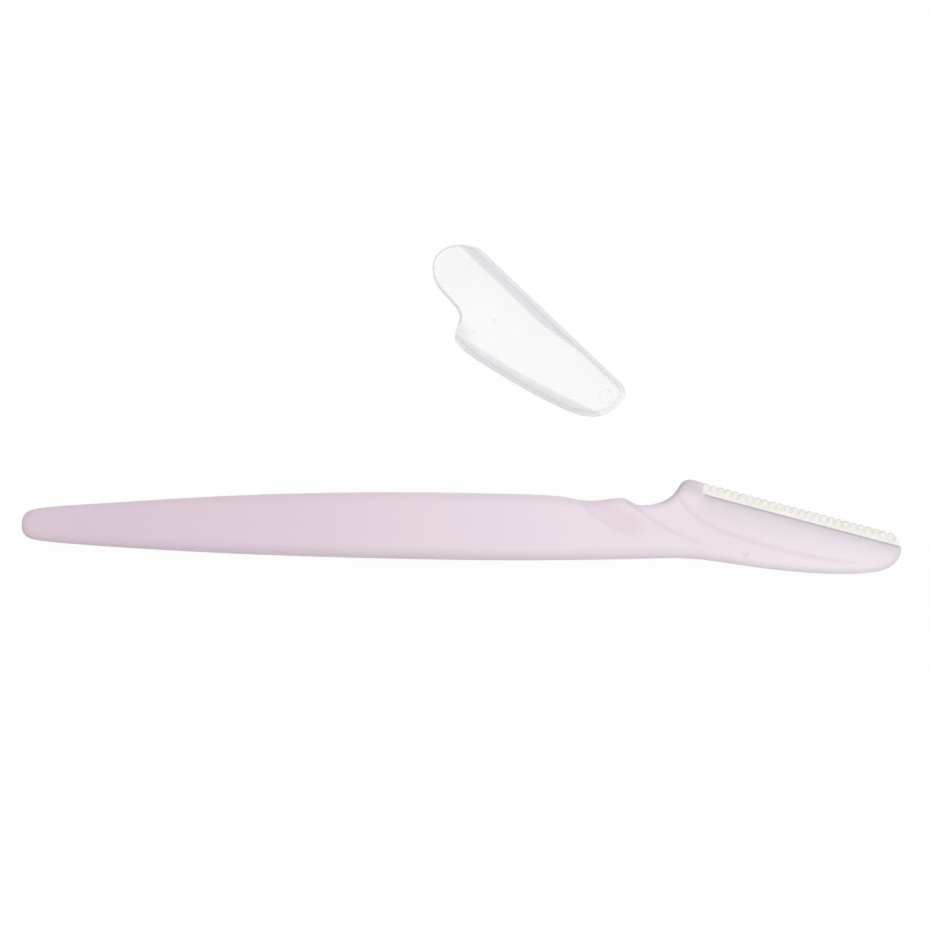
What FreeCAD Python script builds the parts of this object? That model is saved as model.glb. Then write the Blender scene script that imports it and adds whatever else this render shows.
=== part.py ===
import FreeCAD, Part
import os
import Sketcher

# Eyebrow razor: a moulded handle with a fixed blade under a slotted guard, and its pull-off cap
# lying beside it. Millimetres and degrees. X runs from the tail to the tip, Y towards the cutting
# edge, Z up from the surface that the razor lies on. The origin is on that surface, under the grip.
# Each body is modelled about its own middle plane, because front and back are alike.

SIZES = {
    # Grip
    "tail_reach": 75.0,
    "grip_rise": 5.65,
    "grip_drop": 6.1,
    "grip_thickness": 5.8,
    "tail_thickness": 3.2,
    "flat_behind": 26.0,
    "edge_round": 1.2,
    # Neck, from the shoulder to the heel of the blade
    "shoulder_reach": 14.0,
    "neck_length": 27.0,
    "dip_rise": 4.2,
    "bump_rise": 4.55,
    "notch_rise": 3.45,
    "heel_rise": 7.75,
    "hook_length": 6.1,
    "neck_drop": 5.7,
    "scoop_sink": 0.4,
    "ridge_width": 0.5,
    "ridge_end_height": 0.1,
    # Head
    "slot_rise": 5.4,
    "heel_wall": 1.75,
    "tip_margin": 0.35,
    "head_depth": 11.2,
    "band_thickness": 3.9,
    "cheek_sink": 0.3,
    "crown_width": 3.4,
    "lip_thickness": 1.1,
    "nub_radius": 0.55,
    "nub_height": 0.4,
    "nub_round": 0.3,
    # Blade
    "blade_length": 34.9,
    "blade_tilt": 14.9,
    "blade_thickness": 0.25,
    "blade_tang": 4.0,
    "tang_cut": 2.0,
    "bevel_width": 0.7,
    "bevel_depth": 0.1,
    "anchor_radius": 0.8,
    "anchor_clearance": 0.05,
    "anchor_inset": 2.5,
    "anchor_end": 4.5,
    "nose_cut": 1.2,
    # Guard
    "guard_reach": 1.8,
    "guard_tang": 1.0,
    "foil_thickness": 0.1,
    "edge_clearance": 0.02,
    "gap_width": 0.65,
    "gap_pitch": 1.3,
    "gap_root": 0.6,
    "gap_end": 1.2,
    # Cap
    "cap_wall": 0.6,
    "cap_clearance": 0.3,
    "blade_room": 0.5,
    "cap_edge_round": 1.45,
    "detent_clearance": 0.1,
    "gate_ring_radius": 1.15,
    "gate_ring_width": 0.3,
    "gate_ring_depth": 0.12,
    # Place of the cap beside the razor
    "cap_lay_x": 0.4,
    "cap_lay_y": 45.8,
    "cap_lay_angle": 43.6,
    # Length by which cutting shapes run past what they cut
    "overrun": 4.0,
}

# How much of the wall that it runs over a round edge may take.
ROUND_SHARE = 0.8
FOLD_SHARE = 0.95

# Places that follow from the sizes. The blade's root is where the slot meets the heel wall.
LAYOUT = {
    "grip_half": "=Sizes.grip_thickness / 2",
    "tail_half": "=Sizes.tail_thickness / 2",
    "band_half": "=Sizes.band_thickness / 2",
    "cheek_half": "=Layout.band_half - Sizes.cheek_sink",
    "lip_half": "=Sizes.lip_thickness / 2",
    "blade_half": "=Sizes.blade_thickness / 2",
    "guard_half": "=Layout.blade_half + Sizes.foil_thickness",
    "edge_reach": "=Sizes.guard_reach - Sizes.foil_thickness - Sizes.edge_clearance",
    "root_x": "=Sizes.shoulder_reach + Sizes.neck_length",
    "root_y": "=Sizes.slot_rise",
    "cos_tilt": "=cos(Sizes.blade_tilt)",
    "sin_tilt": "=sin(Sizes.blade_tilt)",
    "head_length": "=Sizes.blade_length + Sizes.tip_margin",
    "thinnest_half": "=min(Layout.tail_half; Layout.band_half)",
    "edge_limit": f"=min(Sizes.edge_round; Layout.thinnest_half * {ROUND_SHARE})",
    "nub_least": "=min(Sizes.nub_radius; Sizes.nub_height)",
    "nub_limit": f"=min(Sizes.nub_round; Layout.nub_least * {ROUND_SHARE})",
    "cap_gap": "=Sizes.cap_clearance + Sizes.cap_wall",
    "cap_hollow_half": "=Layout.band_half + Sizes.cap_clearance",
    "cap_half": "=Layout.cap_hollow_half + Sizes.cap_wall",
    "spine_inside": "=Sizes.guard_reach + Sizes.blade_room",
    "gap_count": "=floor((Sizes.blade_length - 2 * Sizes.gap_end) / Sizes.gap_pitch) + 1",
    "gap_margin": "=(Sizes.blade_length - (Layout.gap_count - 1) * Sizes.gap_pitch) / 2",
}

# Control points of the plan outline. Tail and grip: x of tail_reach, then the size that y follows.
GRIP_TOP_SHARES = (
    (0.167, "grip_rise", 0.924), (0.04, "grip_rise", 0.966), (-0.187, "grip_rise", 1.009),
    (-0.507, "grip_rise", 0.929), (-0.8, "grip_rise", 0.664), (-0.96, "grip_rise", 0.549),
    (-1.0, "grip_rise", 0.425),
)
GRIP_UNDER_SHARES = (
    (-1.0, "grip_drop", 0.0), (-1.0, "grip_drop", -0.361), (-0.96, "grip_drop", -0.459),
    (-0.8, "grip_drop", -0.615), (-0.507, "grip_drop", -0.828), (-0.16, "grip_drop", -0.951),
    (0.133, "grip_drop", -1.008),
)
# Hook at the heel: x of hook_length back from the blade's root.
HOOK_SHARES = (
    (0.075, "heel_rise", 0.961), (0.297, "heel_rise", 1.026), (0.558, "heel_rise", 0.961),
    (0.69, "heel_rise", 0.723), (1.0, "notch_rise", 1.159),
)
# Neck: x of neck_length from the shoulder.
NECK_TOP_SHARES = (
    (0.667, "notch_rise", 0.971), (0.581, "notch_rise", 0.957), (0.526, "bump_rise", 1.033),
    (0.459, "bump_rise", 1.011), (0.341, "dip_rise", 0.976), (0.233, "dip_rise", 0.988),
    (0.133, "grip_rise", 0.876),
)
NECK_UNDER_SHARES = ((0.593, "neck_drop", -1.023), (0.907, "neck_drop", -0.965))
# Head: u of the head's length along the blade, v of its depth below the slot.
HEAD_UNDER_SHARES = (
    (0.182, -0.933), (0.453, -0.843), (0.732, -0.671), (0.93, -0.478), (0.997, -0.302), (1.014, -0.12),
)
# Lines of relief on both faces: the edge of the grip face, the ridge across the neck, the cheek.
SCOOP_SHARES = (
    (0.211, "heel_rise", 0.9), (0.233, "heel_rise", 0.413), (0.319, "heel_rise", 0.168),
    (0.422, "neck_drop", -0.105), (0.519, "neck_drop", -0.351), (0.685, "neck_drop", -0.421),
)
RIDGE_SHARES = (
    (0.415, "heel_rise", 0.9), (0.496, "heel_rise", 0.555), (0.578, "heel_rise", 0.361),
    (0.678, "heel_rise", 0.084), (0.789, "neck_drop", -0.175),
)
# The ridge runs out along the head's lower side: u and v as on the head.
RIDGE_END_SHARES = ((0.051, -0.78), (0.152, -0.76), (0.245, -0.811))
RIDGE_EXIT_SHARE = (0.329, -1.118)
CHEEK_SHARES = (
    (-0.184, 0.23), (-0.122, -0.134), (-0.034, -0.375), (0.099, -0.5), (0.284, -0.536),
    (0.511, -0.549), (0.709, -0.5), (0.936, -0.384),
)
NUB_SHARE = (0.279, -0.707)
# Thickness seen from the side: x of the stretch, then how far it has come to its end value.
TAPER_SHARES = ((0.0, 0.0), (0.4, 0.0), (0.75, 0.55), (1.0, 1.0))
FALL_SHARES = ((0.0, 0.0), (0.35, 0.0), (0.65, 1.0), (1.2, 1.0))
# Cap: u and v as on the head, then the way outwards.
CAP_UNDER_SHARES = (
    (0.248, -0.929, 0.0, -1.0), (0.326, -0.969, 0.0, -1.0), (0.451, -0.879, 0.1, -1.0),
    (0.647, -0.746, 0.2, -1.0), (0.814, -0.598, 0.3, -0.95), (0.939, -0.455, 0.45, -0.9),
    (1.007, -0.263, 0.9, -0.4), (1.021, 0.018, 1.0, 0.0),
)
CAP_CORNER_SHARE = 1.004
SPINE_END_SHARE = 0.965
SPINE_START_SHARE = 0.028
CAP_MOUTH_SHARES = (
    (0.0, 0.194), (-0.053, 0.115), (-0.095, -0.067), (-0.105, -0.275), (-0.076, -0.452),
    (-0.015, -0.601), (0.085, -0.628), (0.172, -0.64), (0.208, -0.77), (0.224, -0.945),
)
GATE_RING_SHARE = (0.965, -0.045)
# An edge counts as upright from this share of a whole unit up, and as touching within this share.
UPRIGHT_SHARE = 0.98
TOUCH_SHARE = 0.0001
# Holes in the blade's tang: one near each end and one half way, all on one line.
ANCHOR_PLACES = (
    "Sizes.anchor_end", "Sizes.blade_length / 2", "Sizes.blade_length - Sizes.anchor_end",
)

# Where the tangents at the two ends of the cheek's round crown meet, as a share of its width.
CROWN_SHARE = 0.45


def fill_sheet(doc, name, cells):
    """A sheet with a name and a value in each row."""
    sheet = doc.addObject("Spreadsheet::Sheet", name)
    for row, alias in enumerate(cells, start=1):
        sheet.set(f"A{row}", alias)
        sheet.setAlias(f"B{row}", alias)
    for row, content in enumerate(cells.values(), start=1):
        sheet.set(f"B{row}", str(content))
    return sheet


def grip_places(rows):
    """Places on the grip, measured from the origin."""
    return [(f"Sizes.tail_reach * {x}", f"Sizes.{size} * {y}") for x, size, y in rows]


def neck_places(rows, shift="0"):
    """Places on the neck, measured from the shoulder and moved to the left by shift."""
    along = "Sizes.shoulder_reach + Sizes.neck_length"
    return [(f"{along} * {x} - {shift}", f"Sizes.{size} * {y}") for x, size, y in rows]


def hook_places(rows):
    """Places on the hook, measured back from the blade's root."""
    return [(f"Layout.root_x - Sizes.hook_length * {x}", f"Sizes.{size} * {y}") for x, size, y in rows]


def head_place(along, across):
    """A place given along the blade and away from the slot, as a place in the plan."""
    x = f"Layout.root_x + ({along}) * Layout.cos_tilt + ({across}) * Layout.sin_tilt"
    y = f"Layout.root_y - ({along}) * Layout.sin_tilt + ({across}) * Layout.cos_tilt"
    return x, y


def head_share(u, v):
    """The lengths along and across the head that a pair of shares stands for."""
    return f"Layout.head_length * {u}", f"Sizes.head_depth * {v}"


def head_places(rows):
    """Places on the head, in the plan."""
    return [head_place(*head_share(u, v)) for u, v in rows]


def new_body(doc, label):
    """An empty body that takes the name of its piece."""
    body = doc.addObject("PartDesign::Body", label)
    body.Label = label
    return body


def origin_plane(body, role):
    """One of the body's own origin planes."""
    return next(feature for feature in body.Origin.OriginFeatures if feature.Role == role)


def new_sketch(body, name, role="XY_Plane", lift=None):
    """An empty sketch on an origin plane, or lifted off it."""
    sketch = body.newObject("Sketcher::SketchObject", name)
    sketch.AttachmentSupport = [(origin_plane(body, role), "")]
    sketch.MapMode = "FlatFace"
    if lift is not None:
        sketch.setExpression("AttachmentOffset.Base.z", lift)
    return sketch


def blade_section_sketch(body, name):
    """A sketch square to the blade at its root: x away from the slot, y up."""
    sketch = new_sketch(body, name, "YZ_Plane", "Layout.root_x")
    turn = FreeCAD.Rotation(FreeCAD.Vector(0, -1, 0), 1)
    sketch.AttachmentOffset = FreeCAD.Placement(FreeCAD.Vector(), turn)
    sketch.setExpression("AttachmentOffset.Base.x", "Layout.root_y")
    sketch.setExpression("AttachmentOffset.Rotation.Angle", "Sizes.blade_tilt")
    return sketch


def bind(sketch, expression, start, kind, *where):
    """Add a constraint whose value is an expression, from a start value that moves nothing yet."""
    index = sketch.addConstraint(Sketcher.Constraint(kind, *where, start))
    sketch.setExpression(f"Constraints[{index}]", expression)


def pin(sketch, geometry, point, place):
    """Hold one point of a sketch at a place."""
    now = sketch.getPoint(geometry, point)
    bind(sketch, place[0], now.x, "DistanceX", -1, 1, geometry, point)
    bind(sketch, place[1], now.y, "DistanceY", -1, 1, geometry, point)


def add_run(sketch, places):
    """A line, or a cubic curve with control points at the places; its end is left free."""
    count = len(places) + 1
    rough = [FreeCAD.Vector(step, step % 2, 0) for step in range(count)]
    if count == 2:
        run = sketch.addGeometry(Part.LineSegment(*rough), False)
        pin(sketch, run, 1, places[0])
        return run
    curve = Part.BSplineCurve()
    inner = max(count - 4, 0)
    degree = min(3, count - 1)
    mults = [degree + 1] + [1] * inner + [degree + 1]
    curve.buildFromPolesMultsKnots(rough, mults, list(range(len(mults))), False, degree)
    run = sketch.addGeometry(curve, False)
    sketch.exposeInternalGeometry(run)
    for step, place in enumerate(places):
        pin(sketch, run + 1 + step, 3, place)
    return run


def add_loop(sketch, *runs):
    """A closed outline: each run ends where the next one starts."""
    made = [add_run(sketch, places) for places in runs]
    for run, following in zip(made, made[1:] + made[:1]):
        sketch.addConstraint(Sketcher.Constraint("Coincident", run, 2, following, 1))
    return made


def add_rectangle(sketch, left, low, right, high):
    """A rectangle along the sketch's own axes."""
    add_loop(sketch, [(left, low)], [(right, low)], [(right, high)], [(left, high)])


def add_circle(sketch, place, radius):
    """A circle held at a place."""
    circle = sketch.addGeometry(Part.Circle(FreeCAD.Vector(), FreeCAD.Vector(0, 0, 1), 1), False)
    pin(sketch, circle, 3, place)
    bind(sketch, radius, 1, "Radius", circle)


def extrude(body, kind, sketch, length, side="One side", reversed_way=False):
    """A Pad or a Pocket of a sketch."""
    feature = body.newObject(f"PartDesign::{kind}", f"{sketch.Name}_{kind.lower()}")
    feature.Profile = sketch
    feature.SideType = side
    feature.Reversed = reversed_way
    feature.setExpression("Length", length)
    return feature


def mirror(body, name, originals):
    """The same features on the other face."""
    feature = body.newObject("PartDesign::Mirrored", name)
    feature.Originals = originals
    feature.MirrorPlane = (origin_plane(body, "XY_Plane"), [""])
    body.Tip = feature
    return feature


def round_edges(body, name, base, radius, chosen):
    """A fillet on the edges of a feature that the test picks."""
    body.Document.recompute()
    picked = [f"Edge{i}" for i, edge in enumerate(base.Shape.Edges, start=1) if chosen(edge)]
    fillet = body.newObject("PartDesign::Fillet", name)
    fillet.Base = (base, picked)
    fillet.setExpression("Radius", radius)
    return fillet


def middle(edge):
    """The point half way along an edge."""
    return edge.valueAt((edge.FirstParameter + edge.LastParameter) / 2)


def is_upright(edge):
    """Whether an edge runs straight up."""
    return edge.tangentAt(edge.FirstParameter).z ** 2 > UPRIGHT_SHARE


def runs_along(edge):
    """Whether a straight edge runs along the body's own X axis."""
    return edge.tangentAt(edge.FirstParameter).x ** 2 > UPRIGHT_SHARE


def on_runs(sketch, runs, point):
    """Whether a point lies above or below one of the runs of a plan sketch."""
    foot = Part.Vertex(point.x, point.y, 0)
    near = sketch.Document.Sizes.tail_reach * TOUCH_SHARE
    return any(sketch.Geometry[run].toShape().distToShape(foot)[0] < near for run in runs)


def build_handle(doc):
    """The one-piece moulded handle: grip, neck and the head that the blade is moulded into."""
    body = new_body(doc, "handle")
    root = head_place("0", "0")
    heel = head_place("0", "Sizes.heel_wall")
    tip = head_place("Layout.head_length", "0")

    plan = new_sketch(body, "handle_plan")
    under = grip_places(GRIP_UNDER_SHARES) + neck_places(NECK_UNDER_SHARES)
    under += head_places(HEAD_UNDER_SHARES)
    top = [heel] + hook_places(HOOK_SHARES) + neck_places(NECK_TOP_SHARES)
    top += grip_places(GRIP_TOP_SHARES)
    lower, _, _, upper = add_loop(plan, under, [tip], [root], top)
    extrude(body, "Pad", plan, "Sizes.grip_thickness", "Symmetric")

    thinned = thin_ends(body)
    round_edges(
        body, "edges", thinned, "Layout.edge_limit",
        lambda edge: not is_upright(edge) and on_runs(plan, (lower, upper), middle(edge)),
    )
    add_relief(body)
    add_nubs(body)
    add_blade_slot(body)
    place_on_table(body)
    return body


def thin_ends(body):
    """Cut the plate from both faces to its side view: a tapered tail and a thin head."""
    side = new_sketch(body, "thickness", "XZ_Plane")
    behind = "-Sizes.flat_behind"
    back = "(Sizes.tail_reach - Sizes.flat_behind)"
    thinning = "(Layout.grip_half - Layout.tail_half)"
    high = "Layout.grip_half + Sizes.overrun"
    taper = [
        (f"{behind} - {back} * {x}", f"Layout.grip_half - {thinning} * {fall}")
        for x, fall in TAPER_SHARES
    ]
    past_tail = "-Sizes.tail_reach - Sizes.overrun"
    add_loop(
        side, taper[:-1], [taper[-1]], [(past_tail, "Layout.tail_half")], [(past_tail, high)],
        [(behind, high)],
    )
    start = "Sizes.shoulder_reach"
    sinking = "(Layout.grip_half - Layout.band_half - Sizes.ridge_end_height)"
    fall = [
        (f"{start} + Sizes.neck_length * {x}", f"Layout.grip_half - {sinking} * {drop}")
        for x, drop in FALL_SHARES
    ]
    far = f"{start} + Sizes.neck_length + Layout.head_length + Sizes.overrun"
    add_loop(side, fall[:-1], [fall[-1]], [(far, fall[-1][1])], [(far, high)], [(start, high)])
    thin = extrude(body, "Pocket", side, "(Sizes.grip_drop + Sizes.head_depth) * 2", "Symmetric")
    return mirror(body, "thickness_back", [thin])


def add_relief(body):
    """The scoop, the neck's flat, the cheek and its crown, on both faces."""
    high = "Sizes.heel_rise + Sizes.overrun"
    low = "-Sizes.head_depth - Sizes.overrun"
    far = "Layout.root_x + Layout.head_length + Sizes.overrun"

    scoop = new_sketch(body, "scoop", lift="Layout.grip_half - Sizes.scoop_sink")
    groove = neck_places(SCOOP_SHARES)
    crest = neck_places(RIDGE_SHARES, "Sizes.ridge_width")[::-1]
    add_loop(scoop, groove, crest, [(crest[-1][0], high)], [(groove[0][0], high)])

    flat = new_sketch(body, "neck_flat", lift="Layout.band_half")
    ridge = neck_places(RIDGE_SHARES) + head_places(RIDGE_END_SHARES)
    foot = head_place(*head_share(*RIDGE_EXIT_SHARE))
    add_loop(flat, ridge, [foot], [(foot[0], low)], [(far, low)], [(far, high)], [(ridge[0][0], high)])

    cheek = new_sketch(body, "cheek", lift="Layout.cheek_half")
    crease = head_places(CHEEK_SHARES)
    past_tip = "Layout.head_length + Sizes.overrun"
    exit_low = head_place(past_tip, head_share(*CHEEK_SHARES[-1])[1])
    exit_high = head_place(past_tip, "Sizes.heel_rise")
    start_high = head_place(head_share(*CHEEK_SHARES[0])[0], "Sizes.heel_rise")
    add_loop(cheek, crease, [exit_low], [exit_high], [start_high])

    depth = "Layout.grip_half + Sizes.overrun"
    sunk = [
        extrude(body, "Pocket", sketch, depth, reversed_way=True) for sketch in (scoop, flat, cheek)
    ]

    crown = blade_section_sketch(body, "crown")
    lip = ("0", "Layout.lip_half")
    bend = (f"-Sizes.crown_width * {CROWN_SHARE}", "Layout.cheek_half")
    shoulder = ("-Sizes.crown_width", "Layout.cheek_half")
    add_loop(
        crown, [lip, bend], [shoulder], [("-Sizes.crown_width", depth)], [("Sizes.overrun", depth)],
        [("Sizes.overrun", "Layout.lip_half")],
    )
    sunk.append(extrude(body, "Pocket", crown, past_tip, reversed_way=True))
    mirror(body, "relief_back", sunk)


def add_nubs(body):
    """A rounded nub on each face of the head, turned from its side view, which clicks into the cap."""
    side = new_sketch(body, "nubs", "XZ_Plane")
    x, y = head_place(*head_share(*NUB_SHARE))
    side.setExpression("AttachmentOffset.Base.x", x)
    side.setExpression("AttachmentOffset.Base.z", f"-({y})")
    top = "Layout.band_half + Sizes.nub_height"
    low = f"-({top})"
    wall = "Sizes.nub_radius"
    inside = "Sizes.nub_radius - Layout.nub_limit"
    add_loop(
        side, [("0", low)], [(inside, low), (wall, low)], [(wall, f"{low} + Layout.nub_limit")],
        [(wall, f"{top} - Layout.nub_limit"), (wall, top)], [(inside, top)], [("0", top)],
    )
    turned = body.newObject("PartDesign::Revolution", "nubs_turned")
    turned.Profile = side
    turned.ReferenceAxis = (side, ["V_Axis"])


def strip_corners(top):
    """The corners of the blade's tang, cut off at the tip to stay inside the head, up to a top line."""
    end, deep = "Sizes.blade_length", "-Sizes.blade_tang"
    return [
        ("0", top), ("0", deep), (f"{end} - Sizes.tang_cut", deep), (end, f"{deep} + Sizes.tang_cut"),
        (end, top),
    ]


def add_blade_slot(body):
    """The slot that the blade and the feet of its guard fill, with the pegs in the blade's holes."""
    slot = new_sketch(body, "slot")
    add_loop(slot, *[[head_place(*corner)] for corner in strip_corners("Sizes.overrun")])
    extrude(body, "Pocket", slot, "Sizes.blade_thickness", "Symmetric")
    feet = new_sketch(body, "guard_feet")
    foot, out, end = "-Sizes.guard_tang", "Sizes.overrun", "Sizes.blade_length"
    corners = (("0", foot), (end, foot), (end, out), ("0", out))
    add_loop(feet, *[[head_place(*corner)] for corner in corners])
    extrude(body, "Pocket", feet, "2 * Layout.guard_half", "Symmetric")
    pegs = new_sketch(body, "pegs")
    radius = "Sizes.anchor_radius - Sizes.anchor_clearance"
    for along in ANCHOR_PLACES:
        add_circle(pegs, head_place(along, "-Sizes.anchor_inset"), radius)
    body.Tip = extrude(body, "Pad", pegs, "Sizes.blade_thickness", "Symmetric")


def place_on_table(body):
    """Lift a piece of the razor so that the grip's underside lies on the table."""
    body.setExpression("Placement.Base.z", "Layout.grip_half")


def place_at_blade(body):
    """Set a piece modelled along the blade at the blade's root."""
    body.Placement = FreeCAD.Placement(FreeCAD.Vector(), FreeCAD.Rotation(FreeCAD.Vector(0, 0, -1), 1))
    body.setExpression("Placement.Base.x", "Layout.root_x")
    body.setExpression("Placement.Base.y", "Layout.root_y")
    body.setExpression("Placement.Rotation.Angle", "Sizes.blade_tilt")
    place_on_table(body)


def build_blade(doc):
    """The steel strip: ground edge, tang inside the head and holes that the pegs fill."""
    body = new_body(doc, "blade")
    strip = new_sketch(body, "strip")
    end, edge = "Sizes.blade_length", "Layout.edge_reach"
    corners = strip_corners(edge)
    corners[-1:] = [(end, f"{edge} - Sizes.nose_cut"), (f"{end} - Sizes.nose_cut", edge)]
    add_loop(strip, *[[corner] for corner in corners])
    for along in ANCHOR_PLACES:
        add_circle(strip, (along, "-Sizes.anchor_inset"), "Sizes.anchor_radius")
    extrude(body, "Pad", strip, "Sizes.blade_thickness", "Symmetric")
    bevel = new_sketch(body, "bevel", "YZ_Plane")
    ground = f"{edge} - Sizes.bevel_width"
    sharp = "Layout.blade_half - Sizes.bevel_depth"
    clear = "Layout.blade_half + Sizes.overrun"
    add_loop(
        bevel, [(ground, "Layout.blade_half")], [(edge, sharp)], [(f"{edge} + Sizes.overrun", sharp)],
        [(f"{edge} + Sizes.overrun", clear)], [(ground, clear)],
    )
    mirror(body, "bevel_back", [extrude(body, "Pocket", bevel, "Sizes.blade_length", reversed_way=True)])
    place_at_blade(body)
    return body


def build_guard(doc):
    """The thin steel guard folded over the edge, with gaps that let the edge through."""
    body = new_body(doc, "blade_guard")
    crest = "Sizes.guard_reach"
    strip = new_sketch(body, "guard_plan")
    add_rectangle(strip, "0", "-Sizes.guard_tang", "Sizes.blade_length", crest)
    sheet = extrude(body, "Pad", strip, "2 * Layout.guard_half", "Symmetric")
    top = doc.Sizes.guard_reach * ROUND_SHARE
    round_edges(
        body, "fold", sheet, f"Layout.guard_half * {FOLD_SHARE}",
        lambda edge: not is_upright(edge) and middle(edge).y > top and runs_along(edge),
    )
    room = new_sketch(body, "blade_room")
    past = "Sizes.blade_length + Sizes.overrun"
    add_rectangle(
        room, "-Sizes.overrun", "-Sizes.guard_tang - Sizes.overrun", past,
        f"{crest} - Sizes.foil_thickness",
    )
    extrude(body, "Pocket", room, "Sizes.blade_thickness", "Symmetric")

    nose = new_sketch(body, "nose")
    end = "Sizes.blade_length"
    add_loop(
        nose, [(f"{end} - Sizes.nose_cut", crest)], [(end, f"{crest} - Sizes.nose_cut")],
        [(f"{end} + Sizes.overrun", f"{crest} - Sizes.nose_cut")],
        [(f"{end} + Sizes.overrun", f"{crest} + Sizes.overrun")],
        [(f"{end} - Sizes.nose_cut", f"{crest} + Sizes.overrun")],
    )
    extrude(body, "Pocket", nose, "Sizes.overrun", "Symmetric")

    gap = new_sketch(body, "gap")
    left = "Layout.gap_margin - Sizes.gap_width / 2"
    right = "Layout.gap_margin + Sizes.gap_width / 2"
    add_rectangle(gap, left, "Sizes.gap_root", right, f"{crest} + Sizes.overrun")
    cut = extrude(body, "Pocket", gap, "Sizes.overrun", "Symmetric")
    doc.recompute()
    row = body.newObject("PartDesign::LinearPattern", "gap_row")
    row.Originals = [cut]
    row.Direction = (gap, ["H_Axis"])
    row.setExpression("Length", "(Layout.gap_count - 1) * Sizes.gap_pitch")
    row.setExpression("Occurrences", "Layout.gap_count")
    body.Tip = row
    place_at_blade(body)
    return body


def cap_runs(gap, spine):
    """The closed sides of the cap, a gap outside the head, and the place where its spine ends."""
    under = [
        (f"Layout.head_length * {u} + {gap} * {out}", f"Sizes.head_depth * {v} + {gap} * {down}")
        for u, v, out, down in CAP_UNDER_SHARES
    ]
    corner = (f"Layout.head_length * {CAP_CORNER_SHARE} + {gap}", spine)
    return under + [corner], (f"Layout.head_length * {SPINE_END_SHARE}", spine)


def cap_block(doc):
    """The outside of the cap as a full block, with the mould's ring mark near its tip."""
    body = new_body(doc, "cap_block")
    plan = new_sketch(body, "cap_plan")
    spine = "Layout.spine_inside + Sizes.cap_wall"
    sides, spine_end = cap_runs("Layout.cap_gap", spine)
    mouth = [(f"Layout.head_length * {SPINE_START_SHARE}", spine)]
    mouth += [head_share(u, v) for u, v in CAP_MOUTH_SHARES]
    closed = add_loop(plan, sides, [spine_end], mouth)[:2]
    block = extrude(body, "Pad", plan, "2 * Layout.cap_half", "Symmetric")
    round_edges(
        body, "cap_edges", block, "Sizes.cap_edge_round",
        lambda edge: not is_upright(edge) and on_runs(plan, closed, middle(edge)),
    )
    ring = new_sketch(body, "gate_ring", lift="Layout.cap_half - Sizes.gate_ring_depth")
    for radius in ("Sizes.gate_ring_radius", "Sizes.gate_ring_radius - Sizes.gate_ring_width"):
        add_circle(ring, head_share(*GATE_RING_SHARE), radius)
    extrude(body, "Pocket", ring, "Sizes.overrun", reversed_way=True)
    return body


def cap_hollow(doc):
    """The room inside the cap: the head with its clearance, the nub's dimples and the open mouth."""
    body = new_body(doc, "cap_hollow")
    plan = new_sketch(body, "hollow_plan")
    sides, spine_end = cap_runs("Sizes.cap_clearance", "Layout.spine_inside")
    out = "-Sizes.head_depth - Sizes.overrun"
    closed = add_loop(plan, [(out, sides[0][1])] + sides, [spine_end], [(out, spine_end[1])])[:2]
    room = extrude(body, "Pad", plan, "2 * Layout.cap_hollow_half", "Symmetric")
    round_edges(
        body, "hollow_edges", room, "Sizes.cap_edge_round - Sizes.cap_wall",
        lambda edge: not is_upright(edge) and on_runs(plan, closed, middle(edge)),
    )
    detent = new_sketch(body, "detent")
    add_circle(detent, head_share(*NUB_SHARE), "Sizes.nub_radius + Sizes.detent_clearance")
    height = "2 * (Layout.band_half + Sizes.nub_height + Sizes.detent_clearance)"
    extrude(body, "Pad", detent, height, "Symmetric")
    return body


def build_cap(doc):
    """The clear sheath that slides over the head, laid beside the razor."""
    cap = doc.addObject("Part::Cut", "cap")
    cap.Base = cap_block(doc)
    cap.Tool = cap_hollow(doc)
    cap.Placement = FreeCAD.Placement(FreeCAD.Vector(), FreeCAD.Rotation(FreeCAD.Vector(0, 0, -1), 1))
    cap.setExpression("Placement.Base.x", "Sizes.cap_lay_x")
    cap.setExpression("Placement.Base.y", "Sizes.cap_lay_y")
    cap.setExpression("Placement.Base.z", "Layout.cap_half")
    cap.setExpression("Placement.Rotation.Angle", "Sizes.cap_lay_angle")
    return cap


def build():
    """Make the document and write each piece to its own file."""
    doc = FreeCAD.newDocument("eyebrow_razor")
    fill_sheet(doc, "Sizes", SIZES)
    fill_sheet(doc, "Layout", LAYOUT)
    doc.recompute()
    pieces = [build_handle(doc), build_blade(doc), build_guard(doc), build_cap(doc)]
    doc.recompute()
    for item in doc.Objects:
        if "Invalid" in item.State or "Error" in item.State:
            raise RuntimeError(f"{item.Label} failed: {item.State}")
    for piece in pieces:
        if piece.Shape.isNull() or not piece.Shape.isValid():
            raise RuntimeError(f"{piece.Label} has no valid shape")
    os.makedirs("parts", exist_ok=True)
    for piece in pieces:
        piece.Shape.exportStep(os.path.join("parts", f"{piece.Label}.step"))
        print(piece.Label, round(piece.Shape.Volume, 2), len(piece.Shape.Solids))


build()
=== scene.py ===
import logging
import math
from dataclasses import dataclass
from enum import Enum
from typing import Any

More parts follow.
